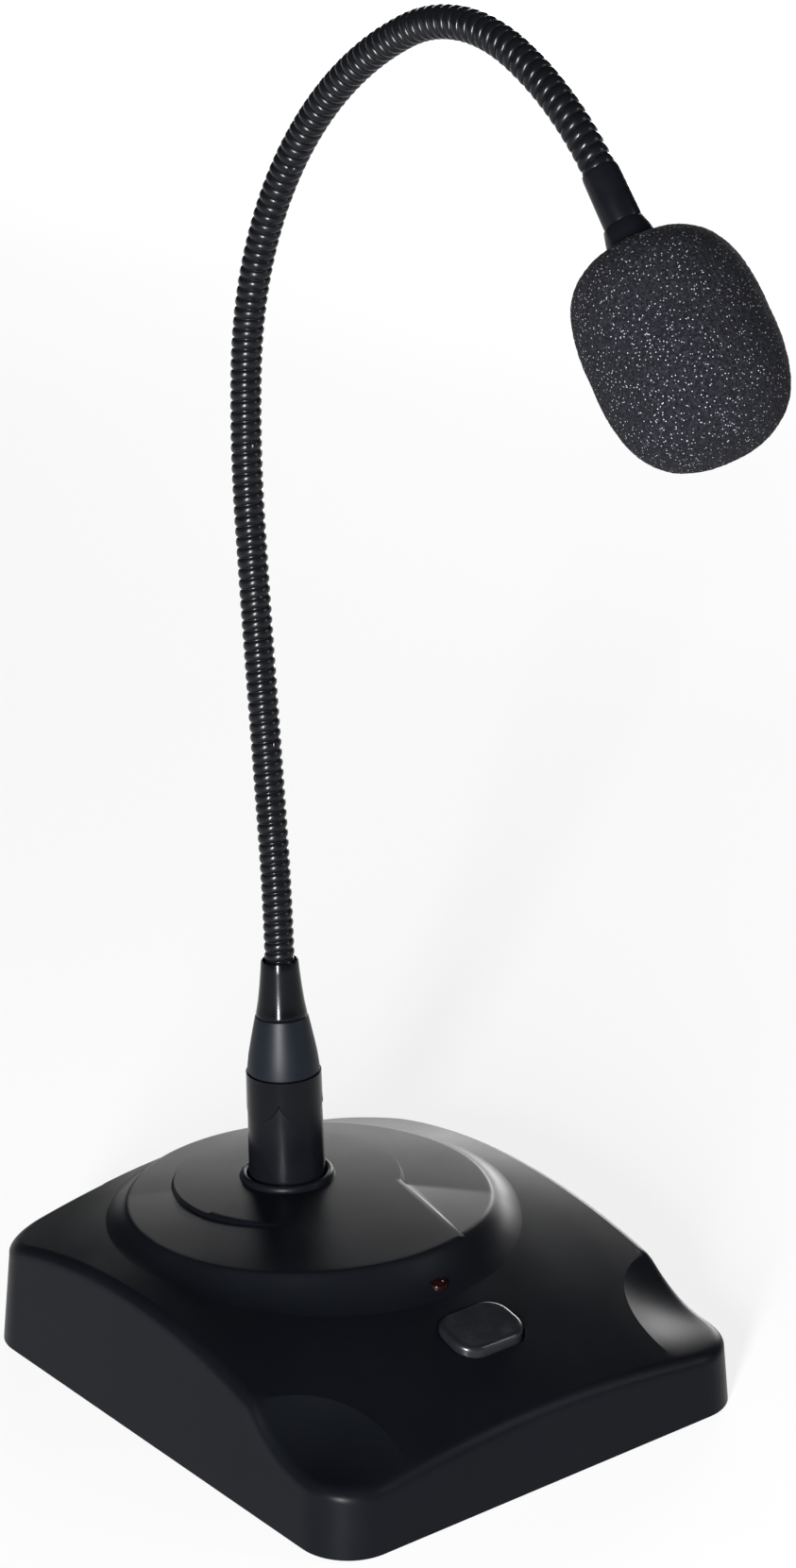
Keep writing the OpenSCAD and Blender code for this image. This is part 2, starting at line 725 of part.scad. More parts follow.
// ---------------------------------------------------------------- head
module upper_ferrule() {
  color([0.03, 0.03, 0.035])
    head_frame() difference() {
      translate([0, 0, upper_ferrule_z]) cylinder(r1 = 4.4, r2 = 4.6, h = upper_ferrule_h);
      translate([0, 0, upper_ferrule_z - 1]) cylinder(r = neck_r + 0.05, h = neck_tail + 3.1);
      cylinder(r = lead_r + 0.4, h = 40);
    }
}

module capsule_housing() {
  color([0.09, 0.09, 0.1])
    head_frame() difference() {
      union() {
        translate([0, 0, housing_z]) cylinder(r1 = housing_r - 1, r2 = housing_r, h = 6);
        translate([0, 0, housing_z + 6]) cylinder(r = housing_r, h = housing_h - 6);
      }
      translate([0, 0, housing_z + 4]) cylinder(r = housing_r - housing_wall, h = housing_h);
      translate([0, 0, housing_z - 1]) cylinder(r = lead_r + 0.4, h = 10);
    }
}

module capsule_holder() {
  color([0.08, 0.08, 0.08])
    head_frame() difference() {
      translate([0, 0, housing_z + housing_h - 12]) cylinder(r = housing_r - housing_wall - 0.02, h = 9);
      translate([0, 0, housing_z + housing_h - 9]) cylinder(r = 4.05, h = 10);
      translate([0, 0, housing_z + housing_h - 13]) cylinder(r = 1.5, h = 10);
    }
}

module capsule() {
  color([0.7, 0.71, 0.73])
    head_frame() difference() {
      translate([0, 0, housing_z + housing_h - 9]) cylinder(r = 4, h = 6);
      translate([0, 0, housing_z + housing_h - 3.4]) cylinder(r = 3, h = 2);
    }
}

module capsule_grille() {
  color([0.2, 0.2, 0.21])
    head_frame() difference() {
      translate([0, 0, housing_z + housing_h - grille_t])
        cylinder(r = housing_r - housing_wall - 0.02, h = grille_t);
      for (a = [0 : 60 : 300]) rotate(a) translate([2.8, 0, grille_low]) cylinder(r = 0.9, h = 5);
      translate([0, 0, grille_low]) cylinder(r = 0.9, h = 5);
    }
}

// Outer profile of the foam: a squared ellipse, flatter towards the neck
function foam_profile(t) =
  foam_r * pow(1 - pow(abs(t), t < 0 ? foam_round_near : foam_round_far),
    1 / (t < 0 ? foam_round_near : foam_round_far));

module windscreen() {
  half = foam_h / 2;
  stations = [for (i = [0 : 2 * foam_steps]) -cos(180 * i / (2 * foam_steps))];
  profile = concat(
    [[0, 0]],
    [for (t = stations) if (abs(t) < 1) [foam_profile(t), half * (1 + t)]],
    [[0, foam_h]]);
  color([0.13, 0.13, 0.14])
    head_frame() translate([0, 0, foam_z]) difference() {
      rotate_extrude() polygon(profile);
      translate([0, 0, -1]) cylinder(r = foam_bore_r, h = foam_bore_h + 1);
    }
}

// ---------------------------------------------------------------- assembly
base_cover();
bottom_plate();
rubber_pad();
ballast_plate();
base_screws();
ballast_screws();
socket_body();
socket_insert();
socket_contacts();
socket_screws();
circuit_board();
board_screws();
switch_body();
led_lens();
base_leads();
output_jack();
jack_nut();
button_cap();
switch_plunger();
button_spring();
plug_shell();
plug_cap();
plug_insert();
plug_pins();
cable_clamp();
plug_boot();
lower_ferrule();
for (k = [1 : links]) {
  neck_section(k);
  mic_lead(k);
}
upper_ferrule();
capsule_housing();
capsule_holder();
capsule();
capsule_grille();
windscreen();
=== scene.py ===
import json
import math

import bmesh
import bpy
from mathutils import Matrix, Vector, noise


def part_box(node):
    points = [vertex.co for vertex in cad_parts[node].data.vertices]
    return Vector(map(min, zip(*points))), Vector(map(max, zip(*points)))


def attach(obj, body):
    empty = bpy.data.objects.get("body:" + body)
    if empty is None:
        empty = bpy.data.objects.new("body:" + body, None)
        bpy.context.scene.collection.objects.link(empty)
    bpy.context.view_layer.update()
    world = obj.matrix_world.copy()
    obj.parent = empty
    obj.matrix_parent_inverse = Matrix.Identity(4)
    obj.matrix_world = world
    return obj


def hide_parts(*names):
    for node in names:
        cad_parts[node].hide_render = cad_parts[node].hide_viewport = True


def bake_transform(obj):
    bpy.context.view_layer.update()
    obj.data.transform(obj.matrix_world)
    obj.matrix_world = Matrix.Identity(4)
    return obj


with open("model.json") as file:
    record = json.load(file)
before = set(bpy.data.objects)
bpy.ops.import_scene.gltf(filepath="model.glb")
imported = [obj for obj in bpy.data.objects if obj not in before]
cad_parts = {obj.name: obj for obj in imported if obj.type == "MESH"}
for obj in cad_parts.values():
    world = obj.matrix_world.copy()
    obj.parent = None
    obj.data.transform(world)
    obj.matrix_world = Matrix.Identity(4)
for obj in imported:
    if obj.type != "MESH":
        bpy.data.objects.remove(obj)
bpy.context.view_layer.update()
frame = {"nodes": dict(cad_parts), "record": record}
MM = 0.001

# ================================================================ Camera and room
# A long lens looks at the microphone from the user's front left, a little above it.
# The room is a pale floor with soft panels of light: a wide one behind, one at the side,
# and two tall ones in front.
scene = bpy.context.scene
view_azimuth, view_elevation = math.radians(-38.48), math.radians(19.95)
view_back = Vector((
    math.sin(view_azimuth) * math.cos(view_elevation),
    -math.cos(view_azimuth) * math.cos(view_elevation),
    math.sin(view_elevation)))
camera = bpy.data.objects.new("camera", bpy.data.cameras.new("camera"))
scene.collection.objects.link(camera)
camera.location = (-0.5439, -0.7003, 0.4857)
camera.rotation_mode = "QUATERNION"
camera.rotation_quaternion = (-view_back).to_track_quat("-Z", "Y")
camera.data.lens = 86.79
camera.data.sensor_width = 36
camera.data.clip_start, camera.data.clip_end = 0.01, 60
scene.camera = camera
scene.view_settings.view_transform = "Standard"


class Value:
    """A socket's value; arithmetic on it adds Math nodes."""

    def __init__(self, finish, socket):
        self.finish, self.socket = finish, socket

    def math(self, operation, first, *rest):
        return self.finish.node(
            "ShaderNodeMath", {"operation": operation}, dict(enumerate((first, *rest))))

    def __add__(self, other):
        return self.math("ADD", self, other)

    def __sub__(self, other):
        return self.math("SUBTRACT", self, other)

    def __rsub__(self, other):
        return self.math("SUBTRACT", other, self)

    def __mul__(self, other):
        return self.math("MULTIPLY", self, other)

    def __pow__(self, other):
        return self.math("POWER", self, other)

    __radd__, __rmul__ = __add__, __mul__


class Finish:
    """One surface finish: a Principled shader with constants, and nodes that vary it."""

    def __init__(self, name, **constants):
        self.material = bpy.data.materials.new(name)
        self.material.use_nodes = True
        self.tree = self.material.node_tree
        self.shader = self.tree.nodes["Principled BSDF"]
        for socket, value in constants.items():
            self.set(self.shader.inputs[socket.replace("_", " ").title()
                                        .replace("Ior", "IOR")], value)
        self.place = self.node("ShaderNodeTexCoord", output="Object")

    def set(self, socket, value):
        if isinstance(value, Value):
            self.tree.links.new(value.socket, socket)
        else:
            socket.default_value = value

    def node(self, kind, settings=None, sockets=None, output=0):
        made = self.tree.nodes.new(kind)
        for key, value in (settings or {}).items():
            setattr(made, key, value)
        for key, value in (sockets or {}).items():
            self.set(made.inputs[key], value)
        return Value(self, made.outputs[output])

    def cloud(self, size, detail=2, rough=0.5):
        """Smooth noise from 0 to 1 with blobs about size metres across."""
        return self.node("ShaderNodeTexNoise", {}, {
            "Vector": self.place, "Scale": 1 / size, "Detail": detail, "Roughness": rough})

    def cells(self, size):
        """Distance from the middle of the nearest of many cells about size metres apart."""
        return self.node("ShaderNodeTexVoronoi", {},
                         {"Vector": self.place, "Scale": 1 / size}, "Distance")

    def between(self, amount, low, high):
        """The amount, pulled between two numbers and held there."""
        return self.node("ShaderNodeMapRange", {}, {
            "Value": amount, "From Min": 0.3, "From Max": 0.7, "To Min": low, "To Max": high})

    def tint(self, amount, dark, light):
        """A colour from dark to light."""
        return self.node("ShaderNodeMix", {"data_type": "RGBA"}, {
            0: amount, 6: (*dark, 1), 7: (*light, 1)}, 2)

    def vary(self, base, roughness, relief=None, depth=0.1 * MM, strength=0.5):
        """Links the colour, the roughness and, where there is one, a relief of a depth."""
        self.set(self.shader.inputs["Base Color"], base)
        self.set(self.shader.inputs["Roughness"], roughness)
        if relief is not None:
            bump = self.node("ShaderNodeBump", {}, {
                "Height": relief, "Distance": depth, "Strength": strength})
            self.set(self.shader.inputs["Normal"], bump)
        return self.material


def new_object(name, bm, material, crease_degrees=None):
    """The mesh as an object, smooth but for edges sharper than the crease."""
    for face in bm.faces:
        face.smooth = True
    if crease_degrees:
        for edge in bm.edges:
            if len(edge.link_faces) == 2 and edge.calc_face_angle() > math.radians(crease_degrees):
                edge.smooth = False
    mesh = bpy.data.meshes.new(name)
    bm.to_mesh(mesh)
    bm.free()
    mesh.materials.append(material)
    made = bpy.data.objects.new(name, mesh)
    scene.collection.objects.link(made)
    return made


floor_finish = Finish("pale_floor", specular_ior_level=0.1, emission_strength=0.80)
floor_cloud = floor_finish.cloud(0.4)
floor_finish.set(floor_finish.shader.inputs["Emission Color"], (1, 1, 1, 1))
floor_finish.vary(floor_finish.tint(floor_cloud, (0.14, 0.14, 0.14), (0.16, 0.16, 0.16)),
                  floor_finish.between(floor_cloud, 0.85, 0.95))
bm = bmesh.new()
bmesh.ops.create_grid(bm, x_segments=1, y_segments=1, size=9)
floor = new_object("floor", bm, floor_finish.material)

scene.world = bpy.data.worlds.new("room")
scene.world.use_nodes = True
room_air = scene.world.node_tree.nodes["Background"]
room_air.inputs["Color"].default_value = (0.86, 0.92, 1.0, 1)
room_air.inputs["Strength"].default_value = 0.05


def soft_lamp(name, azimuth, elevation, distance, width, height, watts):
    """A rectangular lamp that faces the middle of the microphone."""
    lamp = bpy.data.objects.new(name, bpy.data.lights.new(name, "AREA"))
    scene.collection.objects.link(lamp)
    turn, rise = math.radians(azimuth), math.radians(elevation)
    away = Vector((math.sin(turn) * math.cos(rise), -math.cos(turn) * math.cos(rise),
                   math.sin(rise)))
    lamp.location = Vector((0, 0, 0.15)) + away * distance
    lamp.rotation_mode = "QUATERNION"
    lamp.rotation_quaternion = away.to_track_quat("Z", "Y")
    lamp.data.shape, lamp.data.size, lamp.data.size_y = "RECTANGLE", width, height
    lamp.data.energy = watts


soft_lamp("key_lamp", -51, 6, 1.6, 0.16, 0.85, 120)
soft_lamp("fill_lamp", 40, 24, 1.8, 0.25, 1.0, 8)
soft_lamp("side_lamp", 122, 8, 2.2, 0.7, 0.8, 13)
soft_lamp("back_wall", 131, 7, 2.8, 2.3, 1.0, 44)

# ================================================================ Base cover
# One injection-moulded ABS shell, arched front to back, with dished front corners and a
# round raised disc under the stem. It is screwed to the floor plate from below.
cover_low, cover_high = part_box("base_cover")
half_w, half_d = cover_high.x, cover_high.y
cover_foot = cover_low.z
corner_r, edge_r, wall = 14 * MM, 2.8 * MM, 2.2 * MM
lean = math.tan(math.radians(4))
ridge_h, ridge_y, ridge_r = 43 * MM, 22 * MM, 227 * MM
side_h, side_y, side_r = 37 * MM, 12 * MM, 179 * MM
crown_power = 1.8
dish_r, dish_inset, dish_floor, dish_power = 25.3 * MM, 12 * MM, 18.6 * MM, 1.6
straight_cuts, corner_segments = 60, 16
wall_rings, edge_rings, rim_rings, roof_rings = 10, 7, 8, 39
roof_hole, no_dish = 0.22, 0.985


def dome_z(x, y):
    """Height of the arch, which is higher on its middle line than at its sides."""
    ridge = ridge_h - (y - ridge_y) ** 2 / (2 * ridge_r)
    side = side_h - (y - side_y) ** 2 / (2 * side_r)
    return side + (ridge - side) * (1 - (abs(x) / half_w) ** crown_power)


def dish_share(x, y):
    """0 at the middle of a front corner's dish, 1 on its rim."""
    return math.hypot(abs(x) - half_w, y + half_d - dish_inset) / dish_r


def top_z(x, y):
    z, share = dome_z(x, y), dish_share(x, y)
    return dish_floor + (z - dish_floor) * share ** dish_power if share < 1 else z


def inset(p, by):
    """A point of the outline, moved in from the sides."""
    return Vector((p.x * (1 - by / half_w), p.y * (1 - by / half_d), 0))


def crease_share(q):
    """How far out along q the dished corner starts, as a share of q."""
    if dish_share(q.x, q.y) > 1:
        return no_dish
    inner, outer = 0.5, 1
    for _ in range(30):
        middle = (inner + outer) / 2
        if dish_share(q.x * middle, q.y * middle) < 1:
            outer = middle
        else:
            inner = middle
    return min(no_dish, outer)


bm = bmesh.new()
bmesh.ops.create_grid(bm, x_segments=1, y_segments=1, size=1)
for v in bm.verts:
    v.co = (math.copysign(half_w, v.co.x), math.copysign(half_d, v.co.y), 0)
bmesh.ops.bevel(bm, geom=bm.verts[:], offset=corner_r, segments=corner_segments,
                profile=0.5, affect="VERTICES", material=-1)
bmesh.ops.subdivide_edges(
    bm, edges=[e for e in bm.edges if e.calc_length() > corner_r], cuts=straight_cuts,
    use_grid_fill=False)
bmesh.ops.delete(bm, geom=bm.faces[:], context="FACES_ONLY")
outline = bm.verts.layers.float_vector.new("outline")
for v in bm.verts:
    v[outline] = v.co
ring = bm.edges[:]


def next_ring(place):
    """Grows the shell by one ring of faces, with its points put by place(outline point)."""
    global ring
    grown = bmesh.ops.extrude_edge_only(bm, edges=ring)["geom"]
    verts = [g for g in grown if isinstance(g, bmesh.types.BMVert)]
    ring = [g for g in grown if isinstance(g, bmesh.types.BMEdge)]
    for v in verts:
        v.co = place(v[outline])


def wall_top(p):
    return top_z(p.x, p.y) - edge_r


def wall_point(p, share):
    z = cover_foot + (wall_top(p) - cover_foot) * share
    return inset(p, lean * (z - cover_foot)) + Vector((0, 0, z))


def edge_point(p, turn):
    q = inset(p, lean * (wall_top(p) - cover_foot) + edge_r * (1 - math.cos(turn)))
    return q + Vector((0, 0, top_z(q.x, q.y) - edge_r * (1 - math.sin(turn))))


def roof_point(p, share):
    """share runs from 0 at the rounded edge, over 1 at the crease, to 2 near the middle."""
    q = inset(p, lean * (wall_top(p) - cover_foot) + edge_r)
    crease = crease_share(q)
    s = (1 - (1 - crease) * share if share <= 1
         else crease - (crease - roof_hole) * (share - 1))
    return Vector((q.x * s, q.y * s, top_z(q.x * s, q.y * s)))


for v in bm.verts:
    v.co.z = cover_foot
for i in range(1, wall_rings + 1):
    next_ring(lambda p: wall_point(p, i / wall_rings))
for i in range(1, edge_rings + 1):
    next_ring(lambda p: edge_point(p, math.pi / 2 * i / edge_rings))
for i in range(1, rim_rings + 1):
    next_ring(lambda p: roof_point(p, i / rim_rings))
crease_edges = ring[:]
for i in range(1, roof_rings + 1):
    next_ring(lambda p: roof_point(p, 1 + i / roof_rings))
for e in crease_edges:
    middle = (e.verts[0].co + e.verts[1].co) / 2
    if abs(dish_share(middle.x, middle.y) - 1) < 0.01:
        e.smooth = False
bmesh.ops.recalc_face_normals(bm, faces=bm.faces[:])
if sum(f.normal.z for f in bm.faces) < 0:
    bmesh.ops.reverse_faces(bm, faces=bm.faces[:])
bmesh.ops.solidify(bm, geom=bm.faces[:], thickness=wall)

cover_finish = Finish("cover_plastic", specular_ior_level=0.05)
spark = cover_finish.cloud(0.35 * MM, 3, 0.6)
bloom = cover_finish.cloud(22 * MM, 3)
cover_finish.vary(
    cover_finish.tint(bloom, (0.0018, 0.0021, 0.0030), (0.0028, 0.0033, 0.0046)),
    cover_finish.between(bloom + 0.35 * spark - 0.17, 0.30, 0.38),
    spark, 0.03 * MM, 0.5)

for face in bm.faces:
    face.smooth = True
mesh = bpy.data.meshes.new("cover_shell")
bm.to_mesh(mesh)
bm.free()
shell = bpy.data.objects.new("cover_shell", mesh)
scene.collection.objects.link(shell)

# The well of the button and the socket's hole in the back wall.
button_low, button_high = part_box("button_cap")
button_y = (button_low.y + button_high.y) / 2
nut_low, nut_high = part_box("jack_nut")
jack_z, jack_hole_r = (nut_low.z + nut_high.z) / 2, 7.4 * MM
button_w, button_d, button_r, button_gap = 21.6 * MM, 15.2 * MM, 6 * MM, 0.5 * MM


def rounded_slab(bm, width, depth, radius, low, high, middle_y):
    """An upright block with rounded corners."""
    made = bmesh.ops.create_grid(bm, x_segments=1, y_segments=1, size=0.5)["verts"]
    for v in made:
        v.co = (v.co.x * width, v.co.y * depth, low)
    bmesh.ops.bevel(bm, geom=made, offset=radius, segments=10, profile=0.5,
                    affect="VERTICES", material=-1)
    face = [f for f in bm.faces if f.calc_center_median().z < low + 1e-6
            and all(abs(v.co.z - low) < 1e-7 for v in f.verts)][-1]
    raised = bmesh.ops.extrude_face_region(bm, geom=[face])["geom"]
    for v in [g for g in raised if isinstance(g, bmesh.types.BMVert)]:
        v.co.z = high
    bmesh.ops.translate(bm, verts=bm.verts[:], vec=(0, middle_y, 0))
    bmesh.ops.recalc_face_normals(bm, faces=bm.faces[:])


def cut_from(target, bm):
    """Takes the cutter's solid from the target's mesh."""
    data = bpy.data.meshes.new("cutter")
    bm.to_mesh(data)
    bm.free()
    cutter = bpy.data.objects.new("cutter", data)
    scene.collection.objects.link(cutter)
    cut = target.modifiers.new("cut", "BOOLEAN")
    cut.operation, cut.object, cut.solver = "DIFFERENCE", cutter, "EXACT"
    bpy.context.view_layer.update()
    result = bpy.data.meshes.new_from_object(
        target.evaluated_get(bpy.context.evaluated_depsgraph_get()))
    target.modifiers.clear()
    target.data = result
    bpy.data.objects.remove(cutter)


bm = bmesh.new()
rounded_slab(bm, button_w + 2 * button_gap, button_d + 2 * button_gap, button_r + button_gap,
             20 * MM, 60 * MM, button_y)
cut_from(shell, bm)
bm = bmesh.new()
bmesh.ops.create_cone(
    bm, cap_ends=True, segments=64, radius1=jack_hole_r, radius2=jack_hole_r, depth=20 * MM,
    matrix=Matrix.Translation((0, half_d, jack_z)) @ Matrix.Rotation(math.pi / 2, 4, "X"))
cut_from(shell, bm)

# The raised disc: slightly crowned and square to the stem, with a step that winds round it,
# a rolled collar round the stem's socket, and a soft wall down to the arched top.
stem_foot = Vector((0, 31.3, 44.45)) * MM
stem_tilt = math.radians(2.24)
stem_up = Vector((0, math.sin(stem_tilt), math.cos(stem_tilt)))
stem_place = Matrix.Translation(stem_foot) @ Matrix.Rotation(-stem_tilt, 4, "X")
disc_r, disc_y = 48 * MM, -9.5 * MM
disc_front = disc_r - disc_y
inner_r, step_depth, line_w, arc_w = 30.2 * MM, 1.35 * MM, 1.8 * MM, 0.8 * MM
fade_from, fade_run = math.radians(150), math.radians(88)
disc_crown, wall_roll, wall_decay = 2.6 * MM, 0.9 * MM, 2.6
line_start, line_end = math.radians(-46), math.radians(-76)
bore_r, collar_r = 10.5 * MM, 12.5 * MM
collar_low, collar_rise, collar_sunk = 0.35 * MM, 1.25 * MM, 6 * MM
least_drop, back_margin = 0.6 * MM, 4 * MM
COLLAR, FLAT, STEP, RIM, WALL = 9, 12, 4, 12, 20


def disc_reach(turn):
    """Distance from the stem to the disc's edge."""
    c = disc_y * math.sin(turn)
    return c + math.sqrt(c * c + disc_r ** 2 - disc_y ** 2)


line_from = Vector((math.cos(line_start), math.sin(line_start), 0)) * inner_r
line_to = Vector((math.cos(line_end), math.sin(line_end), 0)) * disc_reach(line_end)


def step_reach(turn):
    """Distance from the stem to the step: a circle, but for one straight stretch."""
    if line_end <= turn <= line_start:
        out, run = Vector((math.cos(turn), math.sin(turn), 0)), line_to - line_from
        return line_from.cross(run).z / out.cross(run).z
    fade = min(1, (line_end - turn) / math.radians(50)) if turn < line_end else 1
    return inner_r * fade + disc_reach(turn) * 0.999 * (1 - fade)


def step_down(turn):
    """Depth of the winding step: full from the straight edge round the back, and fading
    on the left to nothing at the front."""
    if turn < line_end:
        turn += math.tau
    if turn < line_start:
        return step_depth * (turn - line_end) / (line_start - line_end)
    if turn <= fade_from:
        return step_depth
    return step_depth * max(0, 1 - (turn - fade_from) / fade_run) ** 0.8


def disc_top(turn, r, down):
    """A point of the disc's slightly crowned top, in the room."""
    crown = disc_crown * (r * r - collar_r ** 2) / disc_front ** 2
    return stem_place @ Vector((math.cos(turn) * r, math.sin(turn) * r, -down - crown))


def disc_point(ring, turn):
    """The disc's profile ring by ring: collar, flat, step, rim and outer wall."""
    if ring <= COLLAR:
        a = math.pi * ring / COLLAR
        r = (bore_r + collar_r) / 2 - (collar_r - bore_r) / 2 * math.cos(a)
        z = collar_low + collar_rise * math.sin(a) if ring else -collar_sunk
        return stem_place @ Vector((math.cos(turn) * r, math.sin(turn) * r, z))
    ring -= COLLAR
    reach = step_reach(turn)
    step_w = line_w if line_end <= turn <= line_start else arc_w
    if ring <= FLAT:
        foot = collar_r + 0.3 * MM
        return disc_top(turn, foot + (reach - foot) * (ring - 1) / (FLAT - 1), 0)
    ring -= FLAT
    down = step_down(turn)
    if ring <= STEP:
        share = ring / STEP
        return disc_top(turn, reach + step_w * share, down * share * share * (3 - 2 * share))
    ring -= STEP
    edge = disc_reach(turn)
    if ring <= RIM:
        start = min(reach + step_w, edge - 0.01 * MM)
        fill = min(1, (edge - start) / (1.5 * MM))
        r = start + (edge - 0.5 * MM * fill - start) * ring / RIM
        return disc_top(turn, r, down * fill)
    rim, centre = disc_top(turn, edge, down), stem_place @ Vector((0, disc_y, 0))
    side = Vector((rim.x - centre.x, rim.y - centre.y, 0)).normalized()
    drop = 5 * MM
    for _ in range(8):
        reach = 1.5 * drop + 3 * MM
        if side.y > 0:
            reach = min(reach, (half_d - back_margin - rim.y) / side.y)
        foot = rim + side * reach
        drop = max(least_drop, rim.z - dome_z(foot.x, foot.y) + 0.1 * MM)
    run = reach * ((ring - RIM) / WALL) ** 1.4
    rolled = math.hypot(run, wall_roll) - wall_roll
    fall = (1 - math.exp(-wall_decay * rolled / reach)) / (1 - math.exp(-wall_decay))
    return rim + side * run - Vector((0, 0, drop * fall))


bm = bmesh.new()
last_ring = COLLAR + FLAT + STEP + RIM + WALL
line = [bm.verts.new((i + 1, 0, 0)) for i in range(last_ring + 1)]
edges = [bm.edges.new(pair) for pair in zip(line, line[1:] + line[:1])]
bmesh.ops.spin(bm, geom=line + edges, cent=(0, 0, 0), axis=(0, 0, 1), angle=math.tau,
               steps=256, use_merge=True)
bmesh.ops.remove_doubles(bm, verts=bm.verts[:], dist=1e-5)
for v in bm.verts:
    v.co = disc_point(round(math.hypot(v.co.x, v.co.y)) - 1, math.atan2(v.co.y, v.co.x))
bmesh.ops.recalc_face_normals(bm, faces=bm.faces[:])

bm.from_mesh(shell.data)
bpy.data.objects.remove(shell)
cover = new_object("cover", bm, cover_finish.material, 32)
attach(cover, "base")
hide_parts("base_cover")

# ================================================================ Talk button and lamp
# A glossy push button with a rounded rim and a dished top, held by the board's switch,
# and a small tinted lamp lens behind it.
bm = bmesh.new()
button_floor = button_low.z + 1 * MM
button_top, button_rim = dome_z(0, button_y) + 1.75 * MM, 1.3 * MM
button_slope = math.tan(math.radians(11))
rounded_slab(bm, button_w, button_d, button_r, button_floor, button_top, button_y)
top_face = max(bm.faces, key=lambda f: f.calc_center_median().z)
for v in top_face.verts:
    v.co.z = button_top + (v.co.y - button_y) * button_slope
bmesh.ops.bevel(bm, geom=top_face.edges[:], offset=button_rim, segments=5, profile=0.5,
                affect="EDGES", material=-1)
top_face = max(bm.faces, key=lambda f: f.calc_center_median().z if len(f.verts) > 8 else 0)
for depth in (0.8, 1.5, 2.2):
    bmesh.ops.inset_region(bm, faces=[top_face], thickness=depth * MM, depth=-0.06 * MM)
button_finish = Finish("button_plastic", specular_ior_level=0.25)
haze = button_finish.cloud(4 * MM, 3)
swirl = button_finish.cloud(0.5 * MM, 2)
button_finish.vary(
    button_finish.tint(haze, (0.004, 0.0046, 0.006), (0.006, 0.0066, 0.008)),
    button_finish.between(haze, 0.20, 0.30), swirl, 0.008 * MM, 0.4)
button = new_object("button", bm, button_finish.material, 50)
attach(button, "button")
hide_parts("button_cap")

led_low, led_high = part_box("led_lens")
led_y, lens_tilt = (led_low.y + led_high.y) / 2, math.radians(14)
lens_seat = max((v.co for v in cover.data.vertices
                 if math.hypot(v.co.x, v.co.y - led_y) < 1.2 * MM), key=lambda co: co.z)
bm = bmesh.new()
line = [bm.verts.new((r * MM, 0, z * MM)) for r, z in (
    (0.001, -3), (2.4, -3), (2.4, 0.1), (2.25, 0.3), (2, 0.3), (1.8, 0.05), (1.6, 0.05),
    (1.2, 0.3), (0.6, 0.42), (0.001, 0.45))]
bmesh.ops.spin(bm, geom=line + [bm.edges.new(pair) for pair in zip(line, line[1:])],
               cent=(0, 0, 0), axis=(0, 0, 1), angle=math.tau, steps=40, use_merge=True)
bmesh.ops.remove_doubles(bm, verts=bm.verts[:], dist=2e-6)
bmesh.ops.recalc_face_normals(bm, faces=bm.faces[:])
bmesh.ops.transform(bm, matrix=Matrix.Translation((0, led_y, lens_seat.z - 0.2 * MM))
                    @ Matrix.Rotation(lens_tilt, 4, "X"), verts=bm.verts[:])
lens_finish = Finish("lamp_lens", specular_ior_level=0.15)
lens_haze = lens_finish.cloud(1.1 * MM, 3)
lens_finish.vary(lens_finish.tint(lens_haze, (0.003, 0.001, 0.001), (0.008, 0.0013, 0.0013)),
                 lens_finish.between(lens_haze, 0.14, 0.3), lens_haze, 0.05 * MM, 0.5)
lens = new_object("lamp_lens", bm, lens_finish.material, 40)
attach(lens, "base")
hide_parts("led_lens")

# ================================================================ Plug and neck fittings
# A soft rubber boot leads the neck out of its locking plug, and a black lacquered ferrule
# is crimped on the neck's foot. The plug's own shell and cap are kept CAD nodes.


def turned(name, profile, place, material, steps=96, crease=40):
    """A closed ring turned from its outline of (radius, height) pairs in millimetres."""
    bm = bmesh.new()
    line = [bm.verts.new((r * MM, 0, z * MM)) for r, z in profile]
    edges = [bm.edges.new(pair) for pair in zip(line, line[1:] + line[:1])]
    bmesh.ops.spin(bm, geom=line + edges, cent=(0, 0, 0), axis=(0, 0, 1), angle=math.tau,
                   steps=steps, use_merge=True)
    bmesh.ops.remove_doubles(bm, verts=bm.verts[:], dist=1e-7)
    bmesh.ops.recalc_face_normals(bm, faces=bm.faces[:])
    bmesh.ops.transform(bm, matrix=place, verts=bm.verts[:])
    return new_object(name, bm, material, crease)


def lacquer(name, dark, light, low, high, shine):
    """Gloss black lacquer on metal, with faint dust and orange peel."""
    made = Finish(name, specular_ior_level=shine)
    peel, dust = made.cloud(1.2 * MM, 2), made.cloud(6 * MM, 4)
    return made.vary(made.tint(dust, dark, light), made.between(dust, low, high),
                     peel, 0.012 * MM, 0.4)


gloss_black = lacquer("gloss_lacquer", (0.0012, 0.0014, 0.002), (0.002, 0.0023, 0.003),
                      0.12, 0.20, 0.11)
satin_black = lacquer("satin_coat", (0.0018, 0.002, 0.0028), (0.003, 0.0033, 0.0045),
                      0.20, 0.28, 0.10)
boot_finish = Finish("boot_rubber", specular_ior_level=0.11)
boot_cloud, boot_grain = boot_finish.cloud(5 * MM, 4), boot_finish.cloud(0.25 * MM, 2)
boot_material = boot_finish.vary(
    boot_finish.tint(boot_cloud, (0.0022, 0.003, 0.005), (0.0035, 0.0047, 0.0075)),
    boot_finish.between(boot_grain, 0.38, 0.48), boot_grain, 0.03 * MM, 0.5)

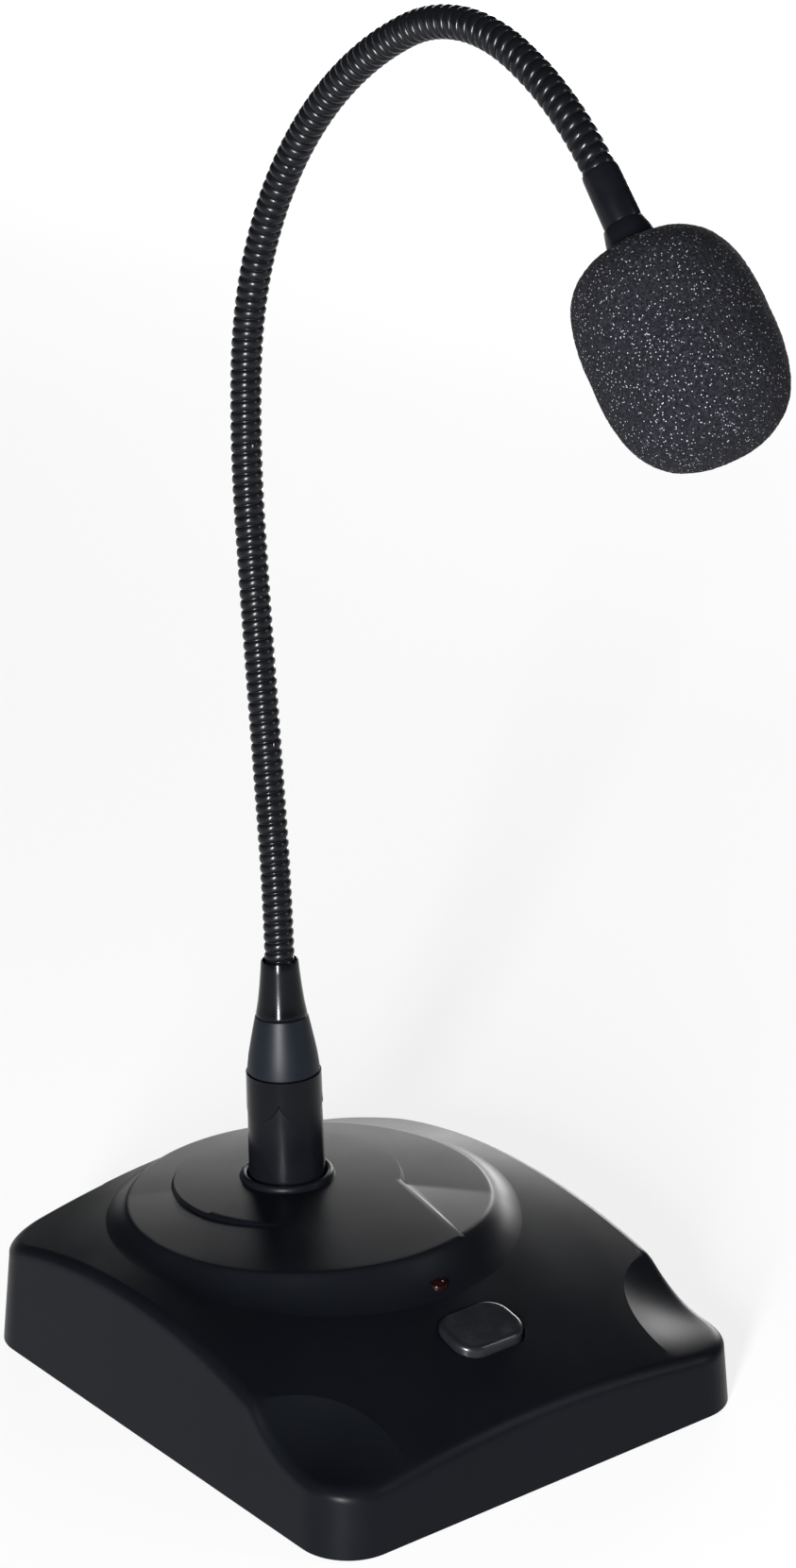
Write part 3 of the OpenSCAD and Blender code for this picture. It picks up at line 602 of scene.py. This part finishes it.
boot = turned("boot", [
    (5, 30.1), (9.35, 30.1), (9.6, 30.4), (9.55, 31.4), (9.1, 35), (8.35, 39), (7.65, 42.5),
    (7.05, 45.3), (6.9, 45.7), (6.6, 45.85), (4.8, 45.85)], stem_place, boot_material)
lower_ferrule = turned("lower_ferrule_sleeve", [
    (4.3, 38), (4.3, 60.9), (4.55, 61.25), (4.8, 61.2), (4.95, 60.8), (5.15, 58.5),
    (5.6, 54), (6.1, 50), (6.55, 47.4), (6.72, 46.7), (6.74, 46.2), (6.6, 45.9),
    (6.2, 45.75), (4.7, 45.7), (4.7, 38)], stem_place, gloss_black)
for piece, node, slot in ((boot, "plug_boot", "boot_rubber"),
                          (lower_ferrule, "lower_ferrule", "cap_metal")):
    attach(piece, "plug")
    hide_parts(node)

# ================================================================ Gooseneck
# Round spring wire with a wedge wire wound into its gaps, black lacquered, held in shape
# by their grip on each other. Each piece runs from one section's middle to the next's.
neck_turns = [math.radians(t) for t in (-3.6, 0, 0.8, 8.2, 21.4, 21.2, 20.7, 47.3, 27.9)]
neck_length = 352 * MM
link = neck_length / len(neck_turns)
rib_pitch, wire_r, wire_flatness, neck_r = 2.7 * MM, 1.28 * MM, 0.55, 4 * MM
wedge_r, wedge_depth = 0.8 * MM, 1.25 * MM
wire_steps, tuck = 18, 6 * MM


def along(heading):
    return Vector((0, -math.sin(heading), math.cos(heading)))


headings, knots = [-stem_tilt], [stem_foot + stem_up * 61.1 * MM]
for turn in neck_turns:
    chord = link * (math.sin(turn / 2) / (turn / 2) if turn else 1)
    knots.append(knots[-1] + chord * along(headings[-1] + turn / 2))
    headings.append(headings[-1] + turn)


def neck_at(s):
    """The neck's middle line at s metres from its foot, and its heading there."""
    k = min(max(int(s // link), 0), len(neck_turns) - 1)
    run, turn = s - k * link, neck_turns[k]
    if s < 0:
        return knots[0] + along(headings[0]) * s, headings[0]
    if s > neck_length:
        return knots[-1] + along(headings[-1]) * (s - neck_length), headings[-1]
    bend = turn * run / link
    chord = run * (math.sin(bend / 2) / (bend / 2) if abs(bend) > 1e-6 else 1)
    return knots[k] + chord * along(headings[k] + bend / 2), headings[k] + bend


def wind(bm, radius, sides, half_height, flatness, low, high, offset):
    """One wire as a helix up +Z from low to high."""
    made = bmesh.ops.create_circle(bm, cap_ends=False, segments=sides, radius=half_height)["verts"]
    bmesh.ops.scale(bm, vec=(flatness, 1, 1), verts=made)
    phase = math.tau * ((low - offset) / rib_pitch)
    place = (Matrix.Rotation(phase, 4, "Z") @ Matrix.Translation((radius, 0, low))
             @ Matrix.Rotation(math.pi / 2, 4, "X"))
    bmesh.ops.transform(bm, matrix=place, verts=made)
    rims = list({e for v in made for e in v.link_edges})
    turns = (high - low) / rib_pitch
    steps = max(1, round(turns * wire_steps))
    bmesh.ops.spin(bm, geom=made + rims, cent=(0, 0, 0), axis=(0, 0, 1),
                   dvec=(0, 0, (high - low) / steps), angle=math.tau * turns, steps=steps)


neck_finish = Finish("neck_lacquer", specular_ior_level=0.15)
neck_dust, neck_peel = neck_finish.cloud(3 * MM, 4), neck_finish.cloud(0.6 * MM, 2)
neck_material = neck_finish.vary(
    neck_finish.tint(neck_dust, (0.0018, 0.002, 0.0026), (0.003, 0.0033, 0.0042)),
    neck_finish.between(neck_dust, 0.20, 0.32), neck_peel, 0.01 * MM, 0.4)
for k in range(1, 9):
    low = -tuck if k == 1 else (k - 0.5) * link
    high = neck_length + tuck if k == 8 else (k + 0.5) * link
    bm = bmesh.new()
    wind(bm, neck_r - wire_r * wire_flatness, 12, wire_r, wire_flatness, low, high, 0)
    wind(bm, neck_r - wedge_depth, 6, wedge_r, 1, low, high, rib_pitch / 2)
    for v in bm.verts:
        middle, heading = neck_at(v.co.z)
        across = Vector((0, math.cos(heading), math.sin(heading)))
        v.co = middle + Vector((v.co.x, 0, 0)) + across * v.co.y
    bmesh.ops.holes_fill(bm, edges=[e for e in bm.edges if e.is_boundary], sides=0)
    bmesh.ops.recalc_face_normals(bm, faces=bm.faces[:])
    coil = new_object(f"coil_{k}", bm, neck_material)
    neck_at((k - 0.5) * link)[0]
    neck_at((k + 0.5) * link)[0]
    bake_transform(coil)
    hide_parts(*(["neck_coil_8", "neck_coil_9"] if k == 8 else [f"neck_coil_{k}"]))

# ================================================================ Head
# A satin black ferrule joins the neck to the capsule housing, which is mostly inside a
# moulded open-cell foam windscreen pushed over it.
head_place = Matrix.Translation(knots[-1]) @ Matrix.Rotation(headings[-1], 4, "X")
upper_ferrule = turned("upper_ferrule_sleeve", [
    (4.08, -1.9), (4.2, -2), (4.32, -1.8), (4.42, -0.8), (4.5, 5), (4.55, 10.6), (4.45, 11.2),
    (4.3, 11.3), (1.6, 11.3), (1.6, 7.1), (4.08, 7.1)], head_place, satin_black)
housing = turned("capsule_housing_shell", [
    (1.5, 11.35), (4.75, 11.35), (5, 11.6), (5.6, 14), (6.05, 16.4), (6.18, 17.6),
    (6.2, 44.1), (6.05, 44.3), (5.1, 44.3), (5.0, 44.1), (5.0, 15.4), (1.5, 15.4)],
    head_place, satin_black)
for piece, node, slot in ((upper_ferrule, "upper_ferrule", "cap_metal"),
                          (housing, "capsule_housing", "housing_metal")):
    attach(piece, "head")
    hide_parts(node)

foam_r, foam_half, foam_start = 21 * MM, 26 * MM, 16.4 * MM
foam_bore_r, bore_end = 6.45 * MM, 29.6 * MM
foam_rings, foam_steps, top_power, end_power = 150, 220, 3.0, 2.7
swell_size, grain_size, swell_height, foam_tuck = 7 * MM, 0.8 * MM, 0.16, 0.12
outer = []
for i in range(1, foam_rings):
    t = -math.cos(math.pi * i / foam_rings)
    power = top_power if t < 0 else end_power
    radius = foam_r * (1 - abs(t) ** power) ** (1 / power)
    if radius > foam_bore_r + 0.8 * MM or t > 0:
        outer.append((radius / MM, (foam_start + foam_half * (1 + t)) / MM))
mouth = [(foam_bore_r / MM, outer[0][1] + 1.0), (foam_bore_r / MM + 0.25, outer[0][1] + 0.35)]
foam_end = (foam_start + 2 * foam_half) / MM
inside = [(0.001, foam_end), (0.001, (foam_start + bore_end) / MM),
          (foam_bore_r / MM, (foam_start + bore_end) / MM)]
foam_finish = Finish("foam", specular_ior_level=0.1)
strands = foam_finish.cloud(0.5 * MM, 3, 0.7)
pores = foam_finish.cells(0.7 * MM)
# Painted highlights: tiny bright specks put into the foam's colour stand in for glints of light on
# its strands.
painted_glints = foam_finish.node("ShaderNodeMapRange", {}, {
    "Value": foam_finish.cells(0.8 * MM), "From Min": 0.20, "From Max": 0.08})
patches = foam_finish.cloud(9 * MM, 3)
web = foam_finish.between(strands + pores * 0.35 - 0.14, 0, 1)
weave = foam_finish.tint(web ** 1.6 * 0.9 + patches * 0.1,
                         (0.0008, 0.0009, 0.0014), (0.011, 0.0115, 0.0155))
# The weave's colour with the painted highlight specks added on top.
weave_with_painted_glints = foam_finish.node("ShaderNodeMix", {"data_type": "RGBA", "blend_type": "ADD"}, {
    0: 1.0, 6: weave,
    7: foam_finish.tint(painted_glints, (0, 0, 0), (0.34, 0.34, 0.38))}, 2)
foam_finish.vary(weave_with_painted_glints, foam_finish.between(strands, 0.85, 1), web, 0.3 * MM, 0.9)
foam = turned("foam_windscreen", mouth + outer + inside, head_place, foam_finish.material,
              steps=foam_steps, crease=0)
normals = [v.normal.copy() for v in foam.data.vertices]
for v, normal in zip(foam.data.vertices, normals):
    swell = (noise.noise(v.co / swell_size) + noise.noise(v.co / grain_size)) * swell_height
    v.co = v.co + normal * (swell - foam_tuck) * MM
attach(foam, "foam")
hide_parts("windscreen")

# ================================================================ Kept CAD nodes
# The plug's shell, cap and pins, the socket in the base, the floor plate with its pad and
# ballast, the board, the screws and the leads keep their exact shapes and get finishes.


def speckled(name, dark, light, low, high, blob, depth=0.02, **constants):
    """A finish whose colour, gloss and fine relief vary in blobs of one size."""
    made = Finish(name, **constants)
    patch, grain = made.cloud(blob * MM, 3), made.cloud(blob * 0.08 * MM, 2)
    return made.vary(made.tint(patch, dark, light), made.between(patch, low, high),
                     grain, depth * MM, 0.5)


slot_finish = {
    "plate_plastic": speckled("plate_plastic", (0.010, 0.010, 0.011), (0.016, 0.016, 0.018),
                              0.5, 0.62, 8),
    "pad_rubber": speckled("pad_rubber", (0.010, 0.010, 0.010), (0.018, 0.018, 0.018),
                           0.8, 0.95, 4, 0.06),
    "ballast_steel": speckled("ballast_zinc", (0.30, 0.31, 0.33), (0.42, 0.43, 0.45),
                              0.35, 0.55, 7, metallic=1.0),
    "screw_steel": speckled("blackened_steel", (0.10, 0.10, 0.11), (0.17, 0.17, 0.18),
                            0.3, 0.45, 2, metallic=1.0),
    "insert_plastic": speckled("insulating_plastic", (0.012, 0.012, 0.013),
                               (0.02, 0.02, 0.022), 0.4, 0.55, 5),
    "contact_brass": speckled("gold_flash", (0.66, 0.45, 0.18), (0.80, 0.60, 0.28),
                              0.2, 0.35, 2, metallic=1.0),
    "board_resin": speckled("solder_mask", (0.010, 0.07, 0.035), (0.016, 0.11, 0.055),
                            0.25, 0.4, 3),
    "led_resin": lens_finish.material,
    "lead_rubber": speckled("lead_vinyl", (0.012, 0.012, 0.013), (0.02, 0.02, 0.021),
                            0.45, 0.6, 3),
    "nut_steel": speckled("nickel_plate", (0.42, 0.42, 0.43), (0.58, 0.58, 0.60),
                          0.2, 0.35, 3, metallic=1.0),
    "plunger_plastic": speckled("white_plastic", (0.60, 0.60, 0.56), (0.72, 0.72, 0.68),
                                0.4, 0.55, 3),
    "spring_steel": speckled("spring_wire", (0.45, 0.45, 0.47), (0.60, 0.60, 0.62),
                             0.25, 0.4, 1, metallic=1.0),
    "shell_metal": satin_black,
    "cap_metal": gloss_black,
    "capsule_metal": speckled("drawn_can", (0.60, 0.61, 0.63), (0.72, 0.73, 0.75),
                              0.3, 0.45, 3, metallic=1.0),
    "neck_steel": neck_material,
}
for subpart in frame["record"]["subparts"]:
    node = frame["nodes"][subpart["node"]]
    if not node.hide_render:
        node.data.materials.clear()
        node.data.materials.append(slot_finish[subpart["material_slot"]])
